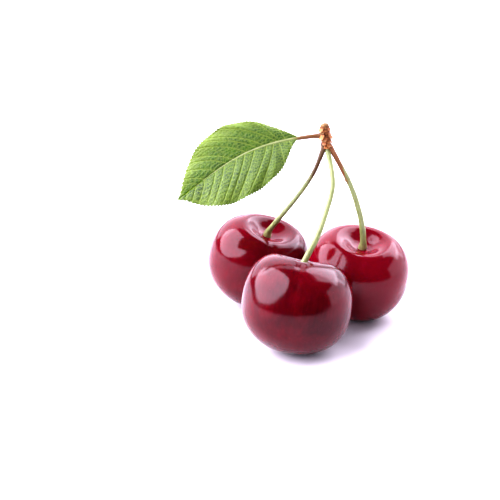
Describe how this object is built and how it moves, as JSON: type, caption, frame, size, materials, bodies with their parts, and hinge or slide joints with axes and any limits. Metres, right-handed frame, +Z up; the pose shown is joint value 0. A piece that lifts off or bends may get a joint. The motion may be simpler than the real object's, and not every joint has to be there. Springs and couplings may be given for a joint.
{
  "type": "bunch of sweet cherries",
  "caption": "Dark red sweet cherries on long green stems that meet at one woody fruiting spur with papery bud scales and a toothed leaf; the bunch rests on its fruits.",
  "frame": {"origin": "on the resting surface, under the middle of the bunch's bounding box", "axes": "+Z up from the resting surface; +X from the leaf's tip towards its stalk, across the bunch; -Y towards the side the leaf's upper face looks to, where the largest fruit lies"},
  "size_m": [0.0606, 0.0562, 0.0555],
  "materials": {
    "fruit_skin": "glossy waxy fruit skin",
    "stem_skin": "smooth, satin, yellow-green",
    "bark": "rough orange-brown bark",
    "bud_scale": "dry, papery, light brown",
    "leaf": "satin leaf, paler along its veins"
  },
  "bodies": {
    "root": {"bud_scale_1": "bud_scale", "bud_scale_2": "bud_scale", "bud_scale_3": "bud_scale", "bud_scale_4": "bud_scale", "bud_scale_5": "bud_scale", "bud_scale_6": "bud_scale", "bud_scale_7": "bud_scale", "bud_scale_8": "bud_scale", "fruit_front": "fruit_skin", "fruit_left": "fruit_skin", "fruit_right": "fruit_skin", "leaf": "leaf", "spur": "bark", "stem_front": "stem_skin", "stem_left": "stem_skin", "stem_right": "stem_skin"}
  },
  "joints": []
}
